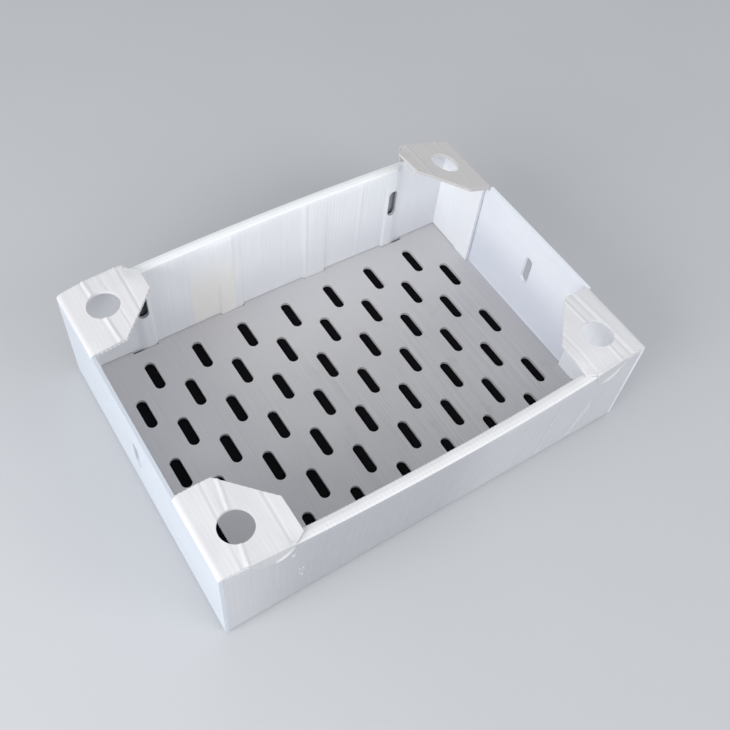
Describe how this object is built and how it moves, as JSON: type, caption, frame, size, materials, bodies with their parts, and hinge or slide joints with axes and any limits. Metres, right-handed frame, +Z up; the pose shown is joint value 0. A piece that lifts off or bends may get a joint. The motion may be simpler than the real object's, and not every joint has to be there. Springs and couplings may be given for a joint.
{
  "type": "fluted plastic packing tray",
  "caption": "Open rectangular tray folded from white fluted plastic board, with double long walls, holed corner flaps welded over them, and a floor of drain slots.",
  "frame": {"origin": "middle of the underside", "axes": "+X along the long walls, +Y along the short walls, +Z up"},
  "size_m": [0.5, 0.372, 0.1559],
  "materials": {
    "board": "semi-matte white fluted polypropylene, slightly translucent"
  },
  "bodies": {
    "root": {"folded_tray": "board"}
  },
  "joints": []
}
